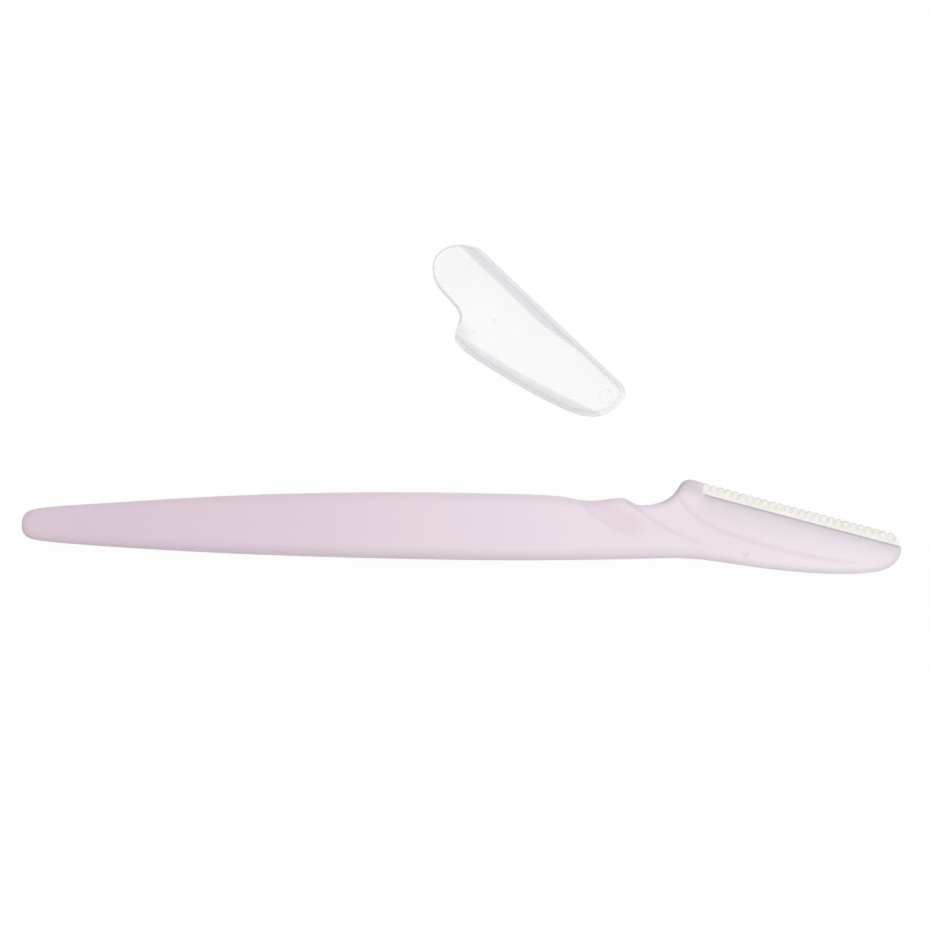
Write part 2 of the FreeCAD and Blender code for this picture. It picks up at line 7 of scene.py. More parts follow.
import bmesh
import bpy
import numpy as np
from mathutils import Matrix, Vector


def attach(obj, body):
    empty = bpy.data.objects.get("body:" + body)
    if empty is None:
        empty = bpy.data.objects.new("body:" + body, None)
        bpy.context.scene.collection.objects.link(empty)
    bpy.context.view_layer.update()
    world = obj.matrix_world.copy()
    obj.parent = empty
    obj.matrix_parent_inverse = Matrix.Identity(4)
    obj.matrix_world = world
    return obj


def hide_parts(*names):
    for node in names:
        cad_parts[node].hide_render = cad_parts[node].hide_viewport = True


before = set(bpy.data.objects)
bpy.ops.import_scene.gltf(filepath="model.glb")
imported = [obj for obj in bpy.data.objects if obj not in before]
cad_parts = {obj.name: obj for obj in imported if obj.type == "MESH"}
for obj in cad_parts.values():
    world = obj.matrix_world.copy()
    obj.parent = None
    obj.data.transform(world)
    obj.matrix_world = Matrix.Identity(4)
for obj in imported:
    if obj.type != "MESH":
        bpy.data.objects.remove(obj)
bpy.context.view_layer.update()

# Looks of an eyebrow razor with its cap off: a satin handle, a steel cutter and a frosted cap.
# Shapes are worked out in millimetres in the frame of the solids, and meshes are in metres.
# X runs from the tail to the tip, Y towards the cutting edge and Z up from the table.

LOG = logging.getLogger("eyebrow_razor")
MM = 0.001
TINY = 1e-6

Array = np.ndarray
Colour = tuple[float, float, float, float]
Pair = tuple[float, float]
Triple = tuple[float, float, float]
Places = tuple[Pair, ...]
# Where a soft rise begins and over what length it goes on
Ramp = Pair

WHITE: Colour = (1.0, 1.0, 1.0, 1.0)
PLASTIC_IOR = 1.49
# The value that random values swing about
NOISE_MIDDLE = 0.5


def screen_colour(red: float, green: float, blue: float) -> Colour:
    """Turn a colour of 0 to 255 in each channel into the linear values that shaders take."""
    def linear(value: float) -> float:
        """One channel from screen to linear."""
        share = value / 255.0
        return share / 12.92 if share <= 0.04045 else ((share + 0.055) / 1.055) ** 2.4

    return linear(red), linear(green), linear(blue), 1.0


def smooth_step(values: Array) -> Array:
    """Ease from 0 to 1 as the values go from 0 to 1."""
    held = np.clip(values, 0.0, 1.0)
    return held * held * (3.0 - 2.0 * held)


def ramped(values: Array, ramp: Ramp) -> Array:
    """Ease from 0 to 1 over a ramp."""
    start, length = ramp
    return smooth_step((values - start) / length)


def cubic_curve(poles: Array, count: int) -> Array:
    """Trace a clamped uniform cubic curve.

    Args:
        poles: Control points, one row each.
        count: Number of points to trace.

    Returns:
        Points along the curve, from the first pole to the last.
    """
    spans = len(poles) - 3
    knots = np.concatenate((np.zeros(4), np.arange(1, spans), np.full(4, spans))).astype(float)
    at = np.linspace(0.0, spans, count)
    span = np.minimum(at.astype(int), spans - 1)
    points = [poles[span + step] for step in range(4)]
    for level in range(1, 4):
        for step in range(3, level - 1, -1):
            low = knots[span + step]
            high = knots[span + step + 4 - level]
            share = ((at - low) / (high - low))[:, None]
            points[step] = (1.0 - share) * points[step - 1] + share * points[step]
    return points[3]


class Track:
    """A line drawn in the plan, which places can be measured against."""

    CHUNK = 1500

    def __init__(self, points: Array) -> None:
        """Keep the points of the line and how far along it each one is."""
        self.points = points
        steps = np.linalg.norm(np.diff(points, axis=0), axis=1)
        self.along = np.concatenate(([0.0], np.cumsum(steps)))

    @property
    def length(self) -> float:
        """The whole length of the line."""
        return float(self.along[-1])

    def at(self, distances: Array) -> Array:
        """Give the places at distances along the line."""
        return np.column_stack([np.interp(distances, self.along, axis) for axis in self.points.T])

    def where(self, values: Array, wanted: float) -> float:
        """Give how far along the line a rising measure of its points is first reached."""
        return float(np.interp(wanted, np.maximum.accumulate(values), self.along))

    def measure(self, places: Array) -> tuple[Array, Array]:
        """Measure places against the line.

        Args:
            places: Places in the plan, one row each.

        Returns:
            The distance of each place, positive on the left of the line, and how far along it is.
        """
        starts = self.points[:-1]
        runs = self.points[1:] - starts
        squares = np.maximum((runs ** 2).sum(axis=1), TINY ** 2)
        distances, alongs = [], []
        for first in range(0, len(places), self.CHUNK):
            offsets = places[first:first + self.CHUNK, None, :] - starts[None, :, :]
            share = np.clip((offsets * runs).sum(axis=2) / squares, 0.0, 1.0)
            gaps = np.linalg.norm(offsets - share[:, :, None] * runs, axis=2)
            nearest = gaps.argmin(axis=1)
            rows = np.arange(len(nearest))
            run, offset = runs[nearest], offsets[rows, nearest]
            side = np.sign(run[:, 0] * offset[:, 1] - run[:, 1] * offset[:, 0])
            distances.append(gaps[rows, nearest] * np.where(side == 0.0, 1.0, side))
            passed = share[rows, nearest] * np.sqrt(squares[nearest])
            alongs.append(self.along[nearest] + passed)
        return np.concatenate(distances), np.concatenate(alongs)


@dataclass(frozen=True)
class PlanLine:
    """A line in the plan which lengths are measured along and across: its root and its tilt."""

    root: Pair
    tilt: float

    @property
    def forward(self) -> Array:
        """The way from the root to the tip."""
        return np.array((math.cos(self.tilt), -math.sin(self.tilt)))

    @property
    def outward(self) -> Array:
        """The way out of the slot."""
        return np.array((math.sin(self.tilt), math.cos(self.tilt)))

    def places(self, rows: Places) -> Array:
        """Turn lengths along and across the line into places in the plan."""
        pairs = np.array(rows, dtype=float)
        return np.array(self.root) + pairs[:, :1] * self.forward + pairs[:, 1:] * self.outward

    def measure(self, places: Array) -> tuple[Array, Array]:
        """Turn places in the plan into lengths along and across the line."""
        offsets = places - np.array(self.root)
        return offsets @ self.forward, offsets @ self.outward


class Operation(Enum):
    """Sums that shader values can be put through."""

    ADD = "ADD"
    SUBTRACT = "SUBTRACT"
    MULTIPLY = "MULTIPLY"
    DIVIDE = "DIVIDE"
    POWER = "POWER"
    MAXIMUM = "MAXIMUM"


class Signal:
    """An output of a shader node, which Python's own arithmetic works on."""

    def __init__(self, graph: "Graph", socket: bpy.types.NodeSocket) -> None:
        """Keep the socket and the graph that it belongs to."""
        self.graph = graph
        self.socket = socket

    def _sum(self, operation: Operation, first: Any, second: Any) -> "Signal":
        """Add the node for one sum."""
        settings = {"operation": operation.value}
        return self.graph.add("ShaderNodeMath", settings, {0: first, 1: second})

    def __add__(self, other: Any) -> "Signal":
        """This plus the other."""
        return self._sum(Operation.ADD, self, other)

    def __radd__(self, other: Any) -> "Signal":
        """The other plus this."""
        return self._sum(Operation.ADD, other, self)

    def __sub__(self, other: Any) -> "Signal":
        """This less the other."""
        return self._sum(Operation.SUBTRACT, self, other)

    def __rsub__(self, other: Any) -> "Signal":
        """The other less this."""
        return self._sum(Operation.SUBTRACT, other, self)

    def __mul__(self, other: Any) -> "Signal":
        """This times the other."""
        return self._sum(Operation.MULTIPLY, self, other)

    def __rmul__(self, other: Any) -> "Signal":
        """The other times this."""
        return self._sum(Operation.MULTIPLY, other, self)

    def __truediv__(self, other: Any) -> "Signal":
        """This divided by the other."""
        return self._sum(Operation.DIVIDE, self, other)

    def __rtruediv__(self, other: Any) -> "Signal":
        """The other divided by this."""
        return self._sum(Operation.DIVIDE, other, self)

    def __pow__(self, other: Any) -> "Signal":
        """This to the power of the other."""
        return self._sum(Operation.POWER, self, other)

    def at_least(self, other: Any) -> "Signal":
        """The greater of this and the other."""
        return self._sum(Operation.MAXIMUM, self, other)


class Grain(Enum):
    """Kinds of random value: the number of finer layers and how strong they are."""

    PATCHES = (3.0, 0.5)
    FINE = (2.0, 0.6)


class Graph:
    """The nodes of one material or of the world."""

    def __init__(self, owner: bpy.types.Material | bpy.types.World) -> None:
        """Start with no nodes at all."""
        owner.use_nodes = True
        self.tree = owner.node_tree
        self.tree.nodes.clear()

    def add(
        self, kind: str, settings: dict[str, Any] | None = None,
        inputs: dict[Any, Any] | None = None, output: int | str = 0,
    ) -> Signal:
        """Make a node.

        Args:
            kind: The node's type.
            settings: Properties that are set first; stops are those of a colour ramp.
            inputs: A value or a signal for each named or numbered socket.
            output: The socket that the returned signal reads.

        Returns:
            The chosen output.
        """
        node = self.tree.nodes.new(kind)
        for name, value in (settings or {}).items():
            if name == "stops":
                self._set_stops(node.color_ramp, value)
            else:
                setattr(node, name, value)
        for name, value in (inputs or {}).items():
            if isinstance(value, Signal):
                self.tree.links.new(value.socket, node.inputs[name])
            else:
                node.inputs[name].default_value = value
        return Signal(self, node.outputs[output]) if len(node.outputs) else None

    @staticmethod
    def _set_stops(ramp: bpy.types.ColorRamp, stops: list[tuple[float, Colour]]) -> None:
        """Place the stops of a colour ramp."""
        while len(ramp.elements) < len(stops):
            ramp.elements.new(1.0)
        for element, (place, colour) in zip(ramp.elements, stops):
            element.position = place
            element.color = colour

    def place(self) -> Signal:
        """Where on the object a point is, in metres."""
        return self.add("ShaderNodeTexCoord", output="Object")

    def stretched(self, place: Signal, scale: Triple, turn: float = 0.0) -> Signal:
        """Turn a place about Z by radians and then stretch it, for grain that runs one way."""
        inputs = {"Vector": place, "Angle": turn}
        turned = self.add("ShaderNodeVectorRotate", {"rotation_type": "Z_AXIS"}, inputs)
        return self.add("ShaderNodeVectorMath", {"operation": "MULTIPLY"}, {0: turned, 1: scale})

    def steepness(self) -> Signal:
        """How steep the surface stands, from 0 for level to 1 for upright."""
        normal = self.add("ShaderNodeNewGeometry", output="Normal")
        up = self.add("ShaderNodeSeparateXYZ", None, {"Vector": normal}, "Z")
        return (1.0 - up * up).at_least(0.0) ** 0.5

    def noise(self, place: Signal, scale: float, grain: Grain) -> Signal:
        """Give soft random values from 0 to 1, with so many blobs in one unit of place."""
        detail, roughness = grain.value
        inputs = {"Vector": place, "Scale": scale, "Detail": detail, "Roughness": roughness}
        return self.add("ShaderNodeTexNoise", {"noise_dimensions": "3D"}, inputs)

    def mix(self, share: Any, first: Any, second: Any) -> Signal:
        """Blend two colours: the first at a share of 0 and the second at 1."""
        settings = {"data_type": "RGBA", "clamp_factor": True}
        return self.add("ShaderNodeMix", settings, {0: share, 6: first, 7: second}, 2)

    def ease(self, value: Signal, low: Any, high: Any) -> Signal:
        """Rise softly from 0 to 1 as a value goes from low to high."""
        inputs = {"Value": value, "From Min": low, "From Max": high}
        return self.add("ShaderNodeMapRange", {"interpolation_type": "SMOOTHSTEP"}, inputs)

    def length_along(self, place: Signal, line: PlanLine, way: Array) -> Signal:
        """Measure a place, given in metres, from a line's root in one way, in millimetres."""
        root = (line.root[0] * MM, line.root[1] * MM, 0.0)
        offset = self.add("ShaderNodeVectorMath", {"operation": "SUBTRACT"}, {0: place, 1: root})
        inputs = {0: offset, 1: (way[0] / MM, way[1] / MM, 0.0)}
        return self.add("ShaderNodeVectorMath", {"operation": "DOT_PRODUCT"}, inputs, "Value")

    def bump(self, height: Signal, depth: float, strength: float) -> Signal:
        """Turn a height from 0 to 1 into a bent normal; the depth is that of 1, in metres."""
        inputs = {"Height": height, "Distance": depth, "Strength": strength}
        return self.add("ShaderNodeBump", None, inputs)

    def surface(self, inputs: dict[str, Any]) -> None:
        """End a material in one shader with the given sockets."""
        shader = self.add("ShaderNodeBsdfPrincipled", None, inputs)
        self.add("ShaderNodeOutputMaterial", None, {"Surface": shader})


def new_material(name: str) -> tuple[bpy.types.Material, Graph]:
    """Make an empty material and its graph."""
    material = bpy.data.materials.new(name)
    return material, Graph(material)


class PaintedShade(Enum):
    """Painted shade on the handle, stored with its points: in hollows, near the lip of the slot and
    on the hook, and along the flanks and edges.
    """

    HOLLOW = "hollow"
    LIP = "lip"
    FLANK = "flank"


@dataclass(frozen=True)
class SatinPlastic:
    """Pale lavender plastic from a finely etched mould."""

    colours: tuple[tuple[float, Colour], ...] = (
        (-0.062, screen_colour(217, 199, 211)), (-0.027, screen_colour(224, 206, 218)),
        (0.017, screen_colour(235, 222, 232)), (0.045, screen_colour(238, 226, 235)),
        (0.076, screen_colour(246, 237, 244)),
    )
    # Painted shade: its colour and how much of it shows, in hollows, near the lip and on the flanks
    painted_shades: tuple[tuple[PaintedShade, Colour, float], ...] = (
        (PaintedShade.HOLLOW, screen_colour(222, 198, 212), 0.7),
        (PaintedShade.LIP, screen_colour(194, 189, 197), 1.0),
        (PaintedShade.FLANK, screen_colour(150, 138, 152), 0.7),
    )
    cloud_colour: Colour = screen_colour(226, 203, 217)
    cloud_share: float = 0.06
    cloud_scale: float = 90.0
    cloud_stretch: Triple = (0.4, 1.0, 1.0)
    etch_scale: float = 5200.0
    etch_depth: float = 0.00002
    etch_strength: float = 0.25
    # Light that spreads inside the plastic
    glow_share: float = 0.1
    glow_radius: Triple = (1.0, 0.6, 0.8)
    glow_depth: float = 0.0008
    roughness: float = 0.42
    roughness_swing: float = 0.08

    def material(self) -> bpy.types.Material:
        """Make the material.

        Returns:
            Plastic that pales towards the head, with painted shade in hollows, near the lip and
            along the flanks.
        """
        material, graph = new_material("satin_lavender_plastic")
        place = graph.place()
        x = graph.add("ShaderNodeSeparateXYZ", None, {"Vector": place}, "X")
        first, last = self.colours[0][0], self.colours[-1][0]
        stops = [((at - first) / (last - first), colour) for at, colour in self.colours]
        paling = {"Fac": (x - first) / (last - first)}
        colour = graph.add("ShaderNodeValToRGB", {"stops": stops}, paling, "Color")
        # Painted shade, read from the points of the mesh
        for shade_kind, shade_colour, share in self.painted_shades:
            amount = graph.add("ShaderNodeAttribute", {"attribute_name": shade_kind.value}, None, "Fac")
            colour = graph.mix(amount * share, colour, shade_colour)
        drawn_out = graph.stretched(place, self.cloud_stretch)
        cloud = graph.noise(drawn_out, self.cloud_scale, Grain.PATCHES)
        colour = graph.mix(cloud * self.cloud_share, colour, self.cloud_colour)
        etch = graph.noise(place, self.etch_scale, Grain.FINE)
        graph.surface({
            "Base Color": colour,
            "Roughness": self.roughness + (etch - NOISE_MIDDLE) * self.roughness_swing,
            "IOR": PLASTIC_IOR,
            "Subsurface Weight": self.glow_share,
            "Subsurface Radius": self.glow_radius,
            "Subsurface Scale": self.glow_depth,
            "Normal": graph.bump(etch, self.etch_depth, self.etch_strength),
        })
        return material


@dataclass(frozen=True)
class DrawnSteel:
    """Stainless steel with fine lines that run along the strip or across it."""

    name: str
    light_colour: Colour
    dark_colour: Colour
    turn: float
    roughness: float
    roughness_swing: float = 0.16
    line_stretch: Triple = (0.03, 1.0, 1.0)
    line_scale: float = 9000.0
    line_share: float = 0.5
    line_depth: float = 0.000006
    line_strength: float = 0.4
    stain_scale: float = 1300.0
    stain_range: Pair = (0.35, 0.65)
    # Painted shade on faces that stand steep
    steep_shade_colour: Colour = screen_colour(188, 185, 184)
    steep_shade_share: float = 0.8

    def material(self) -> bpy.types.Material:
        """Make the material.

        Returns:
            Metal with drawn lines and slight stains, with painted shade where its faces stand
            steep.
        """
        material, graph = new_material(self.name)
        place = graph.place()
        drawn_out = graph.stretched(place, self.line_stretch, self.turn)
        lines = graph.noise(drawn_out, self.line_scale, Grain.FINE)
        stain = graph.noise(place, self.stain_scale, Grain.PATCHES)
        stain = graph.ease(stain, *self.stain_range)
        bright = lines * self.line_share + stain * (1.0 - self.line_share)
        colour = graph.mix(bright, self.dark_colour, self.light_colour)
        graph.surface({
            # Steep faces are greyed with painted shade
            "Base Color": graph.mix(graph.steepness() * self.steep_shade_share, colour, self.steep_shade_colour),
            "Metallic": 1.0,
            "Roughness": self.roughness + (stain - NOISE_MIDDLE) * self.roughness_swing,
            "Normal": graph.bump(lines, self.line_depth, self.line_strength),
        })
        return material


@dataclass(frozen=True)
class FrostedPlastic:
    """Milky see-through plastic of a thin moulded cap, denser where its walls are seen edgeways and
    greyed there with painted shade.
    """

    line: PlanLine
    name: str = "frosted_cap_plastic"
    light_colour: Colour = screen_colour(254, 254, 254)
    dark_colour: Colour = screen_colour(249, 249, 251)
    # Grey of the walls: painted shade where faces stand steep and over walls that lie under the
    # flat faces
    wall_shade_colour: Colour = screen_colour(226, 226, 231)
    body_share: float = 0.1
    body_swing: float = 0.04
    wall_share: float = 0.08
    band_share: float = 0.15
    # Spine: its outer face, how wide its wall is near the mouth and near the tip, where it narrows
    spine: float = 2.9
    spine_widths: Pair = (1.75, 0.55)
    spine_narrows: Pair = (16.0, 28.0)
    spine_blur: float = 0.55
    # Lower edge: a chord, its sag, and how far in its wall and its outer line reach
    chord: Places = ((11.8, -11.75), (31.0, -6.9))
    chord_sag: float = 0.35
    under_width: float = 1.85
    under_blur: float = 0.5
    outer_width: float = 0.6
    outer_blur: float = 0.3
    under_share: float = 0.85
    outer_share: float = 0.75
    # Chin: where the mouth turns into the lower edge
    chin: Pair = (8.0, -9.6)
    chin_reach: Pair = (4.5, 2.6)
    chin_share: float = 0.7
    # Mouth: how far its milkier end reaches, and how much of a wall that is
    mouth_reach: Pair = (-2.0, 9.0)
    mouth_share: float = 0.25
    # Marks of the mould: place along and across the cap, and radius of the ring
    marks: tuple[Triple, ...] = (
        (10.14, -8.01, 0.0), (11.23, -4.45, 0.35), (34.09, -0.48, 1.15),
    )
    mark_width: float = 0.3
    mark_share: float = 0.25
    roughness: float = 0.34
    roughness_swing: float = 0.12
    cloud_scale: float = 160.0
    frost_scale: float = 4200.0
    frost_depth: float = 0.000012
    frost_strength: float = 0.2

    def material(self) -> bpy.types.Material:
        """Make the material.

        Returns:
            Plastic that is clearer in its flat faces than where its walls are seen edgeways, with
            painted grey shade on those walls.
        """
        material, graph = new_material(self.name)
        place = graph.place()
        cloud = graph.noise(place, self.cloud_scale, Grain.PATCHES)
        frost = graph.noise(place, self.frost_scale, Grain.FINE)
        wall = graph.steepness()
        band = self._bands(graph, place)
        colour = graph.mix(cloud, self.dark_colour, self.light_colour)
        body = self.body_share + (cloud - NOISE_MIDDLE) * self.body_swing
        graph.surface({
            # Walls and bands are denser, and greyed with painted shade
            "Base Color": graph.mix(wall.at_least(band), colour, self.wall_shade_colour),
            "Roughness": self.roughness + (frost - NOISE_MIDDLE) * self.roughness_swing,
            "IOR": PLASTIC_IOR,
            "Alpha": body + wall * self.wall_share + band * self.band_share,
            "Normal": graph.bump(frost, self.frost_depth, self.frost_strength),
        })
        return material

    def _bands(self, graph: Graph, place: Signal) -> Signal:
        """Find what is denser in the plan and greyed there with painted shade: spine, lower edge,
        chin, mouth and the mould's marks.

        Args:
            graph: The nodes to add to.
            place: Where a point is.

        Returns:
            How much wall is crossed, 1 for a whole one.
        """
        along = graph.length_along(place, self.line, self.line.forward)
        across = graph.length_along(place, self.line, self.line.outward)
        wide, narrow = self.spine_widths
        width = wide - graph.ease(along, *self.spine_narrows) * (wide - narrow)
        spine = 1.0 - graph.ease(self.spine - across, width, width + self.spine_blur)
        (first, start), (last, stop) = self.chord
        middle, half = (first + last) / 2.0, (last - first) / 2.0
        slope = (stop - start) / (last - first)
        bow = 1.0 - ((along - middle) / half) ** 2.0
        above = across - start - (along - first) * slope + bow * self.chord_sag
        inside = above * math.cos(math.atan(slope))
        under = 1.0 - graph.ease(inside, self.under_width, self.under_width + self.under_blur)
        outer = 1.0 - graph.ease(inside, self.outer_width, self.outer_width + self.outer_blur)
        low = under * self.under_share + outer * self.outer_share
        chin = 1.0 - graph.ease(along - self.chin[0], 0.0, self.chin_reach[0])
        chin = chin * (1.0 - graph.ease(across - self.chin[1], 0.0, self.chin_reach[1]))
        chin = chin * self.chin_share
        mouth = (1.0 - graph.ease(along, *self.mouth_reach)) * self.mouth_share
        band = spine.at_least(low).at_least(chin).at_least(mouth)
        for u, v, radius in self.marks:
            gap = ((along - u) ** 2.0 + (across - v) ** 2.0) ** 0.5 - radius
            mark = 1.0 - graph.ease(gap * gap, 0.0, self.mark_width ** 2)
            band = band + mark * self.mark_share
        return band


@dataclass(frozen=True)
class WhiteSweep:
    """The plain pale table, white to the eye and still a receiver of shade."""

    colour: Colour = screen_colour(252, 252, 252)
    white_share: float = 0.93

    def material(self) -> bpy.types.Material:
        """Make a floor that shows white to the eye, also in a mirror or through the cap."""
        material, graph = new_material("white_sweep")
        shaded = graph.add("ShaderNodeBsdfDiffuse", None, {"Color": self.colour})
        white = graph.add("ShaderNodeEmission", None, {"Color": WHITE, "Strength": 1.0})
        share = seen_share(graph) * self.white_share
        mixed = graph.add("ShaderNodeMixShader", None, {0: share, 1: shaded, 2: white})
        graph.add("ShaderNodeOutputMaterial", None, {"Surface": mixed})
        return material


def seen_share(graph: Graph) -> Signal:
    """1 on camera, mirror and see-through rays, which show what is there, and 0 on the others."""
    rays = ("Is Camera Ray", "Is Glossy Ray", "Is Transmission Ray")
    camera, mirror, through = (graph.add("ShaderNodeLightPath", output=ray) for ray in rays)
    return camera.at_least(mirror).at_least(through)


def dress(node: bpy.types.Object, material: bpy.types.Material) -> None:
    """Give every material slot of an object one material."""
    for slot in node.material_slots:
        slot.material = material


def join_rings(mesh: bmesh.types.BMesh, rings: list[list[bmesh.types.BMVert]]) -> None:
    """Lay a skin of faces over rings of points, from each ring to the next."""
    for ring, following in zip(rings, rings[1:]):
        for step, point in enumerate(ring):
            after = (step + 1) % len(ring)
            mesh.faces.new((point, ring[after], following[after], following[step]))


def finish_mesh(name: str, mesh: bmesh.types.BMesh) -> bpy.types.Mesh:
    """Turn points and faces into a smooth mesh with its faces outward, and let go of them."""
    bmesh.ops.recalc_face_normals(mesh, faces=mesh.faces)
    made = bpy.data.meshes.new(name)
    mesh.to_mesh(made)
    mesh.free()
    made.shade_smooth()
    return made


def add_object(name: str, data: bpy.types.ID) -> bpy.types.Object:
    """Put a mesh, a lamp or a camera into the scene."""
    made = bpy.data.objects.new(name, data)
    bpy.context.scene.collection.objects.link(made)
    return made


@dataclass(frozen=True)
class BladeLine(PlanLine):
    """Where the blade leaves the head, with the lengths of the head and of the hidden tang."""

    root: Pair = (41.0, 5.4)
    tilt: float = math.radians(14.9)
    head_length: float = 35.25
    blade_length: float = 34.9
    tang: float = 4.0
    tang_cut: float = 2.0

    def tang_depths(self, along: Array) -> Array:
        """How deep the tang sits in the head: less at its cut corner and nothing past its ends."""
        depths = self.tang - np.clip(along - self.blade_length + self.tang_cut, 0.0, None)
        return np.where((along > 0.0) & (along < self.blade_length), depths, 0.0)


@dataclass(frozen=True)
class CapLine(PlanLine):
    """Where the cap lies, along the line that the blade's slot would have in it."""

    root: Pair = (0.4, 45.8)
    tilt: float = math.radians(43.6)


@dataclass
class Handle:
    """The moulded handle: grip, scooped neck, hook and the head around the blade."""

    blade: BladeLine
    # Control points of the outline, tail to tip below and heel to tail above
    under_grip: Places = (
        (-75.0, 0.0), (-75.0, -2.2), (-72.0, -2.8), (-60.0, -3.75), (-38.0, -5.05), (-12.0, -5.8),
        (10.0, -6.15), (30.0, -5.83), (38.5, -5.5),
    )
    under_head: Places = (
        (6.42, -10.45), (15.97, -9.44), (25.8, -7.52), (32.78, -5.35), (35.14, -3.38),
        (35.74, -1.34), (35.25, 0.0),
    )
    top: Places = (
        (40.54, 7.45), (39.19, 7.95), (37.6, 7.45), (36.79, 5.6), (34.9, 4.0), (32.0, 3.35),
        (29.69, 3.3), (28.2, 4.7), (26.39, 4.6), (23.2, 4.1), (20.29, 4.15), (17.59, 4.95),
        (12.5, 5.22), (3.0, 5.46), (-14.0, 5.7), (-38.0, 5.25), (-60.0, 3.75), (-72.0, 3.1),
        (-75.0, 2.4), (-75.0, 0.0),
    )
    heel_wall: float = 1.75
    outline_points: int = 1600
    # Lines of relief
    groove: Places = (
        (19.7, 7.0), (20.3, 3.2), (22.6, 1.3), (25.4, -0.6), (28.0, -2.0), (32.5, -2.4),
    )
    ridge: Places = (
        (25.2, 7.0), (27.4, 4.3), (29.6, 2.8), (32.3, 0.65), (35.3, -1.0), (40.5, -3.5),
        (44.0, -4.2), (47.0, -5.6),
    )
    cheek: Places = (
        (-6.5, 2.6), (-4.3, -1.5), (-1.2, -4.2), (3.5, -5.6), (10.0, -6.0), (18.0, -6.15),
        (25.0, -5.6), (33.0, -4.3), (39.0, -2.6),
    )
    relief_points: tuple[int, ...] = (160, 200, 240)
    # Shares of each line over which its form fades
    groove_end: Ramp = (0.75, 0.25)
    ridge_end: Ramp = (0.6, 0.35)
    cheek_end: Ramp = (0.66, 0.22)
    # Heights above the middle plane
    grip_half: float = 2.9
    tail_half: float = 1.6
    ridge_half: float = 2.1
    band_half: float = 1.95
    cheek_sink: float = 0.3
    lip_half: float = 0.55
    edge_half: float = 0.3
    # Side view: the tail's taper and how much of its easing it takes, and where the face falls
    tail_x: float = -75.0
    taper_x: float = -26.0
    taper_share: float = 0.95
    fall: Ramp = (16.0, 23.0)
    run_out: Ramp = (37.0, 9.0)
    # Scoop: its step at places along the groove, and its bowl
    step_places: tuple[float, ...] = (0.2, 0.55, 0.85)
    step_widths: tuple[float, ...] = (0.5, 0.7, 1.8)
    step_sinks: tuple[float, ...] = (0.17, 0.28, 0.4)
    bowl_sink: float = 0.16
    # Ridge and the beads beside it, beside the groove and along the lower edge
    ridge_width: float = 0.5
    ridge_step: float = 0.28
    settle_width: float = 2.0
    bead_height: float = 0.09
    bead_width: float = 0.35
    bead_offset: float = 0.3
    brow_share: float = 0.5
    rail_start: Ramp = (-12.0, 14.0)
    rail_end: Ramp = (38.0, 5.0)
    # Cheek: its cove, how much of its drop stays where it fades, and its crown
    cove_width: float = 1.9
    cheek_rest: float = 0.25
    crown_width: float = 3.4
    # Shade at the foot of the groove, the ridge and the cheek
    foot_place: float = 0.3
    foot_width: float = 0.42
    foot_shares: tuple[float, ...] = (0.45, 0.45, 0.6)
    # Rounding towards the outline and the lip
    low_rounds: Places = (
        (-75.0, 1.9), (-60.0, 2.3), (-20.0, 2.3), (26.0, 2.2), (40.0, 1.8), (52.0, 1.4),
        (75.0, 1.3),
    )
    high_rounds: Places = ((-75.0, 1.9), (-60.0, 2.3), (18.0, 2.3), (34.0, 1.5), (42.0, 1.3))
    lip_round: float = 0.5
    lip_rest: float = 0.05
    # Nub for the cap, and the mark of the mould
    nub_place: Pair = (9.83, -7.92)
    nub_radius: float = 0.55
    nub_height: float = 0.34
    gate_place: Pair = (51.2, -6.57)
    gate_radius: float = 0.32
    gate_depth: float = 0.1
    # Where head and hook begin along the blade's line, and the painted shade there and along the
    # flanks and edges
    head_start: Ramp = (-1.5, 3.5)
    hook_start: Ramp = (-6.5, 3.0)
    hook_shade_rise: Ramp = (-1.5, 2.0)
    hook_shade_share: float = 0.55
    lip_shade_share: float = 0.7
    lip_shade_reach: float = 2.0
    flank_shade_width: float = 0.4
    high_flank_shade: Places = (
        (-75.0, 0.5), (-72.0, 0.0), (8.0, 0.0), (20.0, 0.15), (33.0, 0.3), (35.2, 1.0), (37.8, 0.9),
        (39.6, 0.0),
    )
    low_flank_shade: Places = ((-75.0, 0.5), (-70.0, 0.25), (60.0, 0.25), (73.0, 0.0))
    # Slot: depth and half width at the guard's feet, half width at the blade, reach of its line
    guard_slot: Pair = (1.0, 0.235)
    blade_slot: float = 0.13
    slot_gap: float = 0.01
    # Rows across, and stations along, in stretches that part at shoulder, notch, hook, root and tip
    rows: int = 64
    row_crowding: float = 0.8
    stretch_counts: tuple[int, ...] = (150, 120, 46, 10, 190, 44)
    shoulder_x: float = 14.0
    notch_x: float = 34.9
    hook_x: float = 37.6
    tip_length: float = 2.2
    tail_crowding: float = 0.35
    tip_crowding: float = 1.6
    wall_levels: tuple[float, ...] = (0.8, 0.6, 0.4, 0.2, 0.0)
    merge_gap: float = 0.0005
    sharp_angle: float = math.radians(45.0)

    def build(self) -> bpy.types.Object:
        """Make the handle, dress it and hang it on the razor."""
        piece = add_object("handle_moulding", self._mesh())
        piece.data.materials.append(SatinPlastic().material())
        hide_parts("handle")
        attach(piece, "razor")
        return piece

    def _outline(self) -> tuple[Track, Track, Track]:
        """Trace the plan.

        Returns:
            The lower outline from tail to tip, the upper one from tail to heel, and the whole upper
            side with the heel's wall and the slot.
        """
        under = np.vstack((np.array(self.under_grip), self.blade.places(self.under_head)))
        heel = self.blade.places(((0.0, self.heel_wall),))
        over = np.vstack((heel, np.array(self.top)))
        lower = cubic_curve(under, self.outline_points)
        upper = cubic_curve(over, self.outline_points)[::-1]
        slot = self.blade.places(((0.0, 0.0), (self.blade.head_length, 0.0)))
        return Track(lower), Track(upper), Track(np.vstack((upper, slot)))

